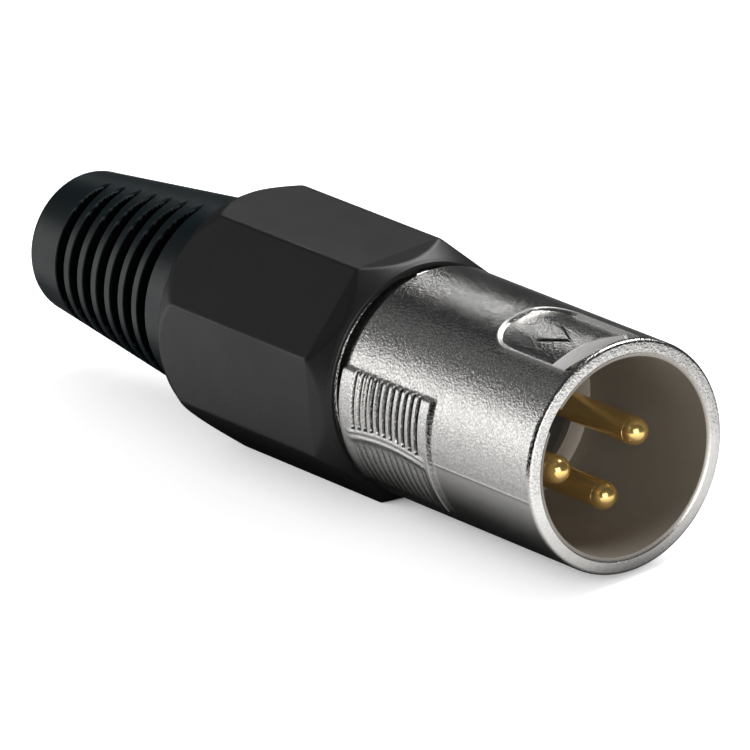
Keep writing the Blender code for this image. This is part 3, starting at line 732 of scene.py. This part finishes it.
def pocketRelief(depth, angle):
    # the latch recess, with a rounded rear end and a fine raised lip, and painted highlights
    # along its edge and on its far wall
    pocket = latchPocket
    side = sideways(angle)
    corner = pocket["corner"]
    fromRear = depth - pocket["rear"]
    fromSide = pocket["halfWidth"] - np.abs(side)
    fromFront = pocket["front"] - depth
    inside = np.minimum(np.minimum(fromRear, fromSide), fromFront)
    rounded = corner - np.hypot(np.maximum(corner - fromRear, 0.0),
                                np.maximum(corner - fromSide, 0.0))
    inside = np.where((fromRear < corner) & (fromSide < corner), rounded, inside)
    height = pocket["lip"] * hump(inside, *pocket["lipPlace"])
    height = height - pocket["depth"] * smoothStep(*pocket["slope"], inside)
    # painted highlights: a pale line along the recess's edge, and another on its far wall
    wearAndHighlight = hump(inside, *pocket["edgeHighlight"]) * (fromFront > pocket["edgeHighlightFront"])
    farWall = hump(inside, *pocket["farHighlight"]) * (side < 0.0)
    farWall = farWall * smoothStep(*pocket["farHighlightRear"], depth)
    farWall = farWall * (fromSide < pocket["farHighlightSide"]) * (fromFront > pocket["farHighlightFront"])
    return height, 0.0, np.clip(np.maximum(wearAndHighlight, farWall), 0.0, 1.0)


def arrowRelief(depth, angle):
    # the raised arrow on the recess's floor, with soil and painted shade round its foot, deeper
    # on the near side, and a painted highlight along its near side
    side = sideways(angle) - math.radians(arrow["turn"]) * barrel["radius"]
    back = (depth - arrow["tip"]) / (arrow["base"] - arrow["tip"])
    within = np.minimum(back * arrow["half"] - np.abs(side), (1.0 - back) * arrow["baseReach"])
    behindTip = back > arrow["tipReach"]
    height = arrow["height"] * smoothStep(-arrow["wall"], arrow["wall"], within) * behindTip
    beforeEnd = back < arrow["edgeEnd"]
    # soil and painted shade round the arrow's foot
    soilAndShade = hump(within, *arrow["footShadeAndSoil"]) * behindTip * beforeEnd
    # painted highlight along the arrow's near side
    wearAndHighlight = arrow["highlightShare"] * hump(within, *arrow["edgeHighlight"])
    wearAndHighlight = wearAndHighlight * (back > arrow["highlightStart"]) * beforeEnd * (side > 0.0)
    return height, soilAndShade * np.where(side > 0.0, arrow["nearShadeAndSoil"], arrow["farShadeAndSoil"]), wearAndHighlight


def partingRelief(depth, angle):
    # the line where the die's halves met
    line = hump(fromLatch(angle), 90.0, barrel["partingWidth"])
    return barrel["partingHeight"] * line * smoothStep(*barrel["partingEnd"], depth), 0.0, 0.0


def windowOutline():
    # a rounded rectangle whose rear edge runs back towards the camera's side
    pocket = latchPocket
    halfWidth = pocket["halfWidth"] - pocket["windowMargin"]
    corner = pocket["windowCorner"]
    rear, front = pocket["windowRear"], pocket["windowFront"]
    outline = []
    for middle, side, start in ((rear + corner, -halfWidth + corner, 270),
                                (rear + corner, halfWidth - corner, 180),
                                (front - corner, halfWidth - corner, 90),
                                (front - corner, -halfWidth + corner, 0)):
        for step in range(7):
            turn = math.radians(start - 15 * step)
            outline.append((middle + corner * math.cos(turn), side + corner * math.sin(turn)))
    lean = pocket["windowSkew"] / (2 * halfWidth)
    return [(depth + lean * side if depth < (rear + front) / 2 else depth, side)
            for depth, side in outline]


def makeBarrel():
    angles = spaced(barrel["angleSteps"])[:-1]
    depths = spaced(barrel["depthSteps"])
    plain = np.zeros(len(angles))
    rows, soilAndShadeRows, wearAndHighlightRows = [], [], []

    def addRow(depth, ring, soilAndShade=0.0, wearAndHighlight=0.0):
        rows.append((depth, ring))
        soilAndShadeRows.append(np.clip(soilAndShade + plain, 0.0, 1.0))
        wearAndHighlightRows.append(np.clip(wearAndHighlight + plain, 0.0, 1.0))

    # the rim's rounding
    radius, rounding = barrel["radius"], barrel["rimRounding"]
    pitted = smoothStep(*barrel["pitStart"], angles)
    pitted = pitted * (1.0 - smoothStep(*barrel["pitEnd"], angles))
    pitFront, pitRear = barrel["pitDepths"]
    addRow(0.0, radius - rounding)
    for depth, ring in arcRows(-rounding, radius - rounding, rounding, 15, 90, 5):
        addRow(depth, ring + plain, pitted * (depth < pitFront))

    # the outside, and the shoulder, which lies further back behind the pads
    away = fromLatch(angles)
    onPad = smoothStep(*gripPad["rearEnds"], away - gripPad["top"])
    onPad = onPad * smoothStep(*gripPad["rearEnds"], gripPad["bottom"] - away)
    shoulder = barrel["shoulder"] + (gripPad["rear"] - barrel["shoulder"]) * onPad
    size, straightEnd = barrel["shoulderRounding"], barrel["straightEnd"]
    for depth in depths:
        reliefs = [relief(depth, angles)
                   for relief in (gripRelief, pocketRelief, arrowRelief, partingRelief)]
        height, soilAndShade, wearAndHighlight = (sum(parts) for parts in zip(*reliefs))
        place = depth
        if depth < straightEnd:
            share = (depth - straightEnd) / (depths[-1] - straightEnd)
            place = straightEnd + share * (shoulder + size - straightEnd)
        addRow(place, radius + height, soilAndShade + pitted * (depth > pitRear), wearAndHighlight)
    outer = rows[-1][1]
    for step in range(1, 4):
        turn = math.pi / 2 * step / 3
        addRow(shoulder + size - size * math.sin(turn), outer - size + size * math.cos(turn))

    # the neck, the rear bore, the insert's shelf, and the bore with its keyway
    neck, neckEnd, neckEdge = barrel["neck"], barrel["neckEnd"], barrel["neckEdge"]
    shelf, bore, seat = barrel["shelfDepth"], barrel["bore"], barrel["seat"]
    fromKey = np.abs(wrapAngle(angles - keyway["middle"]))
    notch = 1.0 - smoothStep(keyway["halfWidth"] - keyway["edge"], keyway["halfWidth"], fromKey)
    wall = bore + keyway["depth"] * notch
    mouth = bore + barrel["mouthWidth"] + keyway["mouth"] * notch
    for depth, ring in (
            (shoulder, neck), (neckEnd + neckEdge, neck), (neckEnd, neck - neckEdge),
            (neckEnd, barrel["rearBore"]), (barrel["step"], barrel["rearBore"]),
            (barrel["step"], seat), (shelf - barrel["seatEdge"], seat),
            (shelf, seat + barrel["seatEdge"]), (shelf, bore - barrel["shelfChamfer"]),
            (shelf + barrel["shelfEdge"], bore),
            (shelf + barrel["shelfEdge"] + barrel["keywayEdge"], wall),
            (shelf / 2, wall), (barrel["ringDepth"], wall), (-barrel["mouthDepth"], wall),
            (-barrel["mouthEdge"], mouth), (0.0, mouth + barrel["mouthEdge"])):
        addRow(depth, ring)
    skin = turnedSkin("barrelShell", rows, angles, satinNickel,
                      {"soilAndShade": soilAndShadeRows, "wearAndHighlight": wearAndHighlightRows}, sharp=barrel["sharp"])

    window = straightCutter("latchWindow", windowOutline(), *latchPocket["windowCut"], latchAngle)
    cutAway(skin, window, barrel["sharp"])
    # the window's rear wall gets the painted highlight
    skin.data.materials.append(paintedWallHighlight)
    wallFoot = bore + latchPocket["wallFoot"]
    for face in skin.data.polygons:
        depth = face.center.x / millimetre - rimPlace
        fromAxis = math.hypot(face.center.y, face.center.z) / millimetre
        nearWall = abs(depth - latchPocket["windowRear"]) < latchPocket["windowSkew"]
        if face.normal.x > latchPocket["wallLean"] and nearWall and fromAxis > wallFoot:
            face.material_index = 1
    return skin


barrelShell = makeBarrel()
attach(barrelShell, "shell")
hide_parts("shell")
print("barrel:", len(barrelShell.data.polygons), "faces")


# ---- contacts

contact = dict(
    radius=1.15, circle=3.947, drop=0.469, tip=-2.9, middle=-12.0,
    ringDepth=0.03, ringFront=0.02, ringRear=0.1,
    collarRadius=1.5, collarFront=-22.9, collarLength=1.4, collarEdge=0.1,
    cupFront=-25.6, cupRadius=1.3, cupBore=0.9, cupLength=5.8, cupEdge=0.08,
    cupRim=0.06, cupLip=0.04, cupDepth=4.0, cupPoint=0.3, cupOpening=2.2,
    cupCut=(0.05, 3.0), cutBeyond=1.0, domeArc=(6, 90, 14), turnStep=7.5,
    sharp=40.0,
)


def contactPlaces():
    # three quarters of a circle that lies a little away from the axis, opposite the latch
    places = []
    middle = math.radians(latchAngle + 180.0)
    for quarter in (-1, 0, 1):
        angle = middle + quarter * math.pi / 2
        places.append((-math.sin(middle) * contact["drop"] - math.sin(angle) * contact["circle"],
                       math.cos(middle) * contact["drop"] + math.cos(angle) * contact["circle"]))
    return places


def makeContact(name, place):
    # the domed pin with a fine ring behind its dome
    radius = contact["radius"]
    dome = contact["tip"] - radius
    ring = contact["ringDepth"]
    rows = [(contact["tip"], 0.0), *arcRows(dome, 0.0, radius, *contact["domeArc"]),
            (dome - contact["ringFront"], radius - ring),
            (dome - contact["ringRear"], radius - ring),
            (dome - contact["ringRear"] - ring, radius), (contact["middle"], radius)]
    # its collar
    front, size = contact["collarFront"], contact["collarRadius"]
    rear, edge = front - contact["collarLength"], contact["collarEdge"]
    rows += [(front, radius), (front, size - edge), (front - edge, size), (rear + edge, size),
             (rear, size - edge), (rear, radius)]
    # the solder cup
    front, size, bore = contact["cupFront"], contact["cupRadius"], contact["cupBore"]
    rear, edge, rim = front - contact["cupLength"], contact["cupEdge"], contact["cupRim"]
    bottom = rear + contact["cupDepth"]
    rows += [(front, radius), (front, size - edge), (front - edge, size), (rear + rim, size),
             (rear, size - rim), (rear, bore + contact["cupLip"]), (rear + rim, bore),
             (bottom, bore), (bottom + contact["cupPoint"], 0.0)]
    pin = turnedSkin(name, rows, spaced([(0.0, 360.0, contact["turnStep"])])[:-1], goldPlate,
                     centre=place, closed=False)
    low, high = contact["cupCut"]
    start, end = rear - contact["cutBeyond"], rear + contact["cupOpening"]
    outline = [(start, -high), (end, -high), (end, high), (start, high)]
    aim = math.degrees(math.atan2(-place[0], place[1]))
    opening = straightCutter("cupOpening", outline, low, high, aim, place)
    cutAway(pin, opening, contact["sharp"])
    return pin


for number, place in enumerate(contactPlaces(), 1):
    pin = makeContact("goldContact%d" % number, place)
    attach(pin, "shell")
    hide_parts("contact_%d" % number)
print("contacts ready")


# ---- collar

collar = dict(
    flat=10.07, corner=10.9, front=-27.6, lean=0.27, leanLength=1.4,
    lip=-25.6, lipRadius=9.5, lipRounding=0.28, lipEdge=0.25, boreEdge=0.2,
    coneEnd=-25.8, coneEndRadius=9.55, rearChamfer=-45.6, rear=-48.0,
    rearRadius=9.96, rearRounding=0.22, rearInset=0.2, bore=8.9,
    grooveFront=-38.0, groove=9.5, grooveRear=-40.6, rearBore=8.85,
    rearBoreEdge=0.15, cornerBlend=0.16, edgeBlend=0.12,
    lipArc=(0, 62, 5), rearArc=(110, 180, 4), sharp=50.0,
    # start, end and step, with close steps at the corners and at both ends
    angleSteps=((0.0, 19.0, 1.0), (19.0, 26.0, 0.35), (26.0, 45.0, 1.0)),
    depthSteps=((-25.86, -28.1, 0.075), (-28.1, -45.2, 4.2), (-45.2, -47.76, 0.1)),
)


def collarRadius(depth, angle):
    # eight flats that lean in at the front, inside a cone at each end, with every edge eased
    lean = max(0.0, depth - collar["front"]) * collar["lean"] / collar["leanLength"]
    reach = collar["flat"] - lean
    away = np.radians((angle + 22.5) % 45.0 - 22.5)
    near = reach / np.cos(away)
    other = reach / np.cos(np.radians(45.0) - np.abs(away))
    radius = softMin(near, other, collar["cornerBlend"])
    for end, size, start in (("coneEnd", "coneEndRadius", "front"),
                             ("rear", "rearRadius", "rearChamfer")):
        slope = (collar["corner"] - collar[size]) / (collar[start] - collar[end])
        cone = collar[size] + (depth - collar[end]) * slope
        radius = softMin(radius, cone, collar["edgeBlend"])
    return radius


def makeCollar():
    angles = spaced([(corner * 45.0 + start, corner * 45.0 + end, step)
                     for corner in range(8) for start, end, step in collar["angleSteps"]])[:-1]
    size = collar["lipRounding"]
    rows = [(depth, ring + np.zeros(len(angles))) for depth, ring in
            arcRows(collar["lip"] - size, collar["lipRadius"] - size, size, *collar["lipArc"])]
    rows += [(depth, collarRadius(depth, angles)) for depth in spaced(collar["depthSteps"])]
    rear, size = collar["rear"], collar["rearRounding"]
    rows += arcRows(rear + size, collar["rearRadius"] - collar["rearInset"], size,
                    *collar["rearArc"])
    rearBore, edge = collar["rearBore"], collar["rearBoreEdge"]
    rows += [(rear, rearBore + edge), (rear + edge, rearBore), (collar["grooveRear"], rearBore),
             (collar["grooveRear"], collar["groove"]), (collar["grooveFront"], collar["groove"]),
             (collar["grooveFront"], collar["bore"]),
             (collar["lip"] - collar["lipEdge"], collar["bore"]),
             (collar["lip"], collar["bore"] + collar["boreEdge"])]
    return turnedSkin("screwCollar", rows, angles, collarPlastic, sharp=collar["sharp"])


screwCollar = makeCollar()
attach(screwCollar, "collar")
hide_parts("collar")
print("collar:", len(screwCollar.data.polygons), "faces")


# ---- geometry node helpers

def newShapeTree(name, values):
    # a tree that takes geometry, named numbers and a finish
    tree = bpy.data.node_groups.new(name, "GeometryNodeTree")
    addSocket(tree, "Geometry", "Geometry")
    for label, value in values.items():
        kind = "Int" if isinstance(value, int) else "Float"
        addSocket(tree, label, kind).default_value = value
    addSocket(tree, "Material", "Material")
    addSocket(tree, "Geometry", "Geometry", "OUTPUT")
    return tree, tree.nodes.new("NodeGroupInput").outputs


def finishTree(tree, given, shape):
    # every tree ends the same way: real geometry, smooth, with its finish
    shape = addNode(tree, "GeometryNodeRealizeInstances", {"Geometry": shape})
    shape = addNode(tree, "GeometryNodeSetShadeSmooth", {"Geometry": shape})
    shape = addNode(tree, "GeometryNodeSetMaterial",
                    {"Geometry": shape, "Material": given["Material"]})
    join(tree, shape, tree.nodes.new("NodeGroupOutput").inputs["Geometry"])


def growShape(name, tree, values, material, sharp, base=None):
    # runs a tree on a mesh, or on an empty one, and keeps the result as a plain mesh
    thing = addMesh(name, base if base is not None else bpy.data.meshes.new(name))
    modifier = thing.modifiers.new(tree.name, "NODES")
    modifier.node_group = tree
    values = {**values, "Material": material}
    for item in tree.interface.items_tree:
        if item.item_type == "SOCKET" and item.in_out == "INPUT" and item.name in values:
            modifier[item.identifier] = values[item.name]
    settle(thing)
    thing.data.materials.clear()
    thing.data.materials.append(material)
    thing.data.set_sharp_from_angle(angle=math.radians(sharp))
    return thing


# ---- boot

boot = dict(
    radius=8.55, tipRadius=5.95, start=-48.0, rear=-71.4, front=-38.3,
    flange=9.2, flangeEdge=0.15, flangeRear=-40.3, tipRounding=0.9, cable=3.7,
    cableEdge=0.3, cavity=7.35, cavityTaper=-41.0, cavityEnd=-50.3,
    cavityEndRadius=6.1,
    grooves=7, pitch=2.2, firstGroove=-53.0, grooveWidth=1.26, grooveDepth=1.5,
    crestRounding=0.10, wall=0.15, stripAngle=-15.0, stripHalf=20.0,
    fullAngle=60.0,
    # faces deeper than the next share get the painted black shade
    blackFrom=0.12,  # faces deeper than this share are black
    crestStep=0.5, wallStep=0.04, bedStep=0.07, closeAngle=1.0, wideAngle=2.5,
    runOut=2.0, tipStep=1.0, tipArc=(96, 180, 8), sharp=40.0,
)


def bootRadius(depth):
    share = (boot["start"] - depth) / (boot["start"] - boot["rear"])
    return boot["radius"] + (boot["tipRadius"] - boot["radius"]) * share


def makeGrooveTree(values):
    # draws a turned skin in by evenly spaced grooves, which run out at a plain strip and
    # opposite it
    tree, given = newShapeTree("bootGrooves", values)
    place = tree.nodes.new("GeometryNodeInputPosition").outputs["Position"]
    alongX, alongY, alongZ = splitPlace(tree, place)

    # how far the nearest groove's middle is
    behind = minus(tree, given["First"], alongX)
    nearest = mathNode(tree, "ROUND", mathNode(tree, "DIVIDE", behind, given["Pitch"]))
    nearest = mathNode(tree, "MINIMUM", mathNode(tree, "MAXIMUM", nearest, 0.0),
                       minus(tree, given["Count"], 1.0))
    offset = minus(tree, behind, times(tree, nearest, given["Pitch"]))
    offset = mathNode(tree, "ABSOLUTE", offset)

    # both width and depth run out, so a groove ends in a point
    angle = mathNode(tree, "ARCTAN2", times(tree, alongY, -1.0), alongZ)
    away = mathNode(tree, "PINGPONG", minus(tree, angle, given["Strip angle"]), math.pi / 2)
    lack = rangeNode(tree, away, given["Strip half angle"], given["Full angle"], 1.0, 0.0)
    reach = minus(tree, 1.0, times(tree, lack, lack))
    halfWidth = times(tree, given["Width"], 0.5, mathNode(tree, "SQRT", reach))
    share = rangeNode(tree, minus(tree, halfWidth, offset),
                      times(tree, given["Crest rounding"], -1.0), given["Wall"], 0.0, 1.0,
                      smooth=True)
    sunk = times(tree, share, reach)

    outward = addNode(tree, "ShaderNodeCombineXYZ", {"Y": alongY, "Z": alongZ})
    unit = vectorNode(tree, "NORMALIZE", outward).outputs[0]
    shift = vectorNode(tree, "SCALE", unit)
    join(tree, times(tree, sunk, given["Depth"], -1.0), shift.inputs["Scale"])
    # how deep a point lies in a groove is kept, to tell the faces with painted black shade
    marked = tree.nodes.new("GeometryNodeStoreNamedAttribute")
    marked.inputs["Name"].default_value = "groove"
    fill(tree, marked.inputs, {"Geometry": given["Geometry"], "Value": sunk})
    moved = addNode(tree, "GeometryNodeSetPosition", {
        "Geometry": marked.outputs["Geometry"], "Offset": shift.outputs[0]})
    finishTree(tree, given, moved)
    return tree


def makeBoot():
    # the angles are close where the grooves run out, and the rows where their walls come
    start, full = boot["stripAngle"] + boot["stripHalf"], boot["stripAngle"] + boot["fullAngle"]
    mirrored = 2 * boot["stripAngle"] + 180.0
    close, wide, runOut = boot["closeAngle"], boot["wideAngle"], boot["runOut"]
    stretches = []
    for turn in (0.0, 180.0):
        marks = [turn + mark for mark in (start - runOut, full, mirrored - full,
                                          mirrored - start + runOut, start + 180.0 - runOut)]
        stretches += between(marks, (close, wide, close, wide))
    angles = spaced(stretches)[:-1]
    half, rounding, wall = boot["grooveWidth"] / 2, boot["crestRounding"], boot["wall"]
    steps = (boot["crestStep"], boot["wallStep"], boot["bedStep"], boot["wallStep"])
    stretches = []
    reached = boot["start"]
    for number in range(boot["grooves"]):
        middle = boot["firstGroove"] - number * boot["pitch"]
        marks = [reached, middle + half + rounding, middle + half - wall,
                 middle - half + wall, middle - half - rounding]
        stretches += between(marks, steps)
        reached = marks[-1]
    tip = boot["tipRounding"]
    stretches.append((reached, boot["rear"] + tip, boot["tipStep"]))

    flange, edge = boot["flange"], boot["flangeEdge"]
    rows = [(boot["front"], flange - edge), (boot["front"] - edge, flange),
            (boot["flangeRear"], flange), (boot["flangeRear"], boot["radius"])]
    rows += [(depth, bootRadius(depth)) for depth in spaced(stretches)]
    rows += arcRows(boot["rear"] + tip, bootRadius(boot["rear"] + tip) - tip, tip,
                    *boot["tipArc"])
    cable, edge = boot["cable"], boot["cableEdge"]
    rows += [(boot["rear"], cable + edge), (boot["rear"] + edge, cable),
             (boot["cavityEnd"], cable), (boot["cavityEnd"], boot["cavityEndRadius"]),
             (boot["cavityTaper"], boot["cavity"]), (boot["front"], boot["cavity"])]
    core = turnedSkin("bootCore", rows, angles, bootRubber, sharp=boot["sharp"])
    values = {
        "Count": boot["grooves"], "First": (boot["firstGroove"] + rimPlace) * millimetre,
        "Pitch": boot["pitch"] * millimetre, "Width": boot["grooveWidth"] * millimetre,
        "Depth": boot["grooveDepth"] * millimetre,
        "Crest rounding": boot["crestRounding"] * millimetre,
        "Wall": boot["wall"] * millimetre, "Strip angle": math.radians(boot["stripAngle"]),
        "Strip half angle": math.radians(boot["stripHalf"]),
        "Full angle": math.radians(boot["fullAngle"]),
    }
    relief = growShape("bendRelief", makeGrooveTree(values), values, bootRubber,
                       boot["sharp"], base=core.data)
    bpy.data.objects.remove(core)

    # painted shade: no light comes back out of the grooves, so their faces are made matt black
    relief.data.materials.append(paintedGrooveShade)
    sunk = np.empty(len(relief.data.vertices), dtype=np.float32)
    relief.data.attributes["groove"].data.foreach_get("value", sunk)
    for face in relief.data.polygons:
        if sunk[list(face.vertices)].mean() > boot["blackFrom"]:
            face.material_index = 1
    return relief


bendRelief = makeBoot()
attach(bendRelief, "boot")
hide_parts("boot")
print("boot:", len(bendRelief.data.polygons), "faces")


# ---- threads of the neck and the collar

thread = dict(
    pitch=1.0, ridge=0.30, neckRadius=8.55, neckStart=-25.4, neckTurns=12.0,
    collarRadius=8.95, collarStart=-26.9, collarTurns=10.0, pointsPerTurn=60,
    corners=4, sharp=30.0,
)


def threadValues(side):
    return {
        "Turns": thread[side + "Turns"], "Pitch": thread["pitch"] * millimetre,
        "Radius": thread[side + "Radius"] * millimetre, "Ridge": thread["ridge"] * millimetre,
        "Start": (thread[side + "Start"] + rimPlace) * millimetre,
    }


def makeThreadTree():
    # a right-handed ridge that winds back along the axis, one pitch for each turn
    tree, given = newShapeTree("screwThread", threadValues("neck"))
    winding = addNode(tree, "GeometryNodeCurveSpiral", {
        "Resolution": thread["pointsPerTurn"], "Rotations": given["Turns"],
        "Start Radius": given["Radius"], "End Radius": given["Radius"],
        "Height": times(tree, given["Turns"], given["Pitch"]), "Reverse": True})
    upright = tree.nodes.new("GeometryNodeSetCurveNormal")
    upright.mode = "Z_UP"
    join(tree, winding, upright.inputs["Curve"])
    outline = addNode(tree, "GeometryNodeCurvePrimitiveCircle", {
        "Resolution": thread["corners"], "Radius": given["Ridge"]})
    ridge = addNode(tree, "GeometryNodeCurveToMesh", {
        "Curve": upright.outputs["Curve"], "Profile Curve": outline, "Fill Caps": True})
    laid = tree.nodes.new("GeometryNodeTransform")
    laid.inputs["Rotation"].default_value = (0.0, -math.pi / 2, 0.0)
    start = addNode(tree, "ShaderNodeCombineXYZ", {"X": given["Start"]})
    fill(tree, laid.inputs, {"Geometry": ridge, "Translation": start})
    finishTree(tree, given, laid.outputs["Geometry"])
    return tree


threadTree = makeThreadTree()
for name, side, body, finish in (("neckThread", "neck", "shell", satinNickel),
                                 ("collarThread", "collar", "collar", collarPlastic)):
    winding = growShape(name, threadTree, threadValues(side), finish, thread["sharp"])
    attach(winding, body)
print("threads ready")


# ---- inner pieces keep their own solids and get their finish

for nodeName, finish in (("insert", insulatorPlastic), ("ground_tag", tinnedBrass),
                         ("cable_clamp", clampPlastic)):
    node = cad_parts[nodeName]
    node.data.materials.clear()
    node.data.materials.append(finish)

print("plug finished")
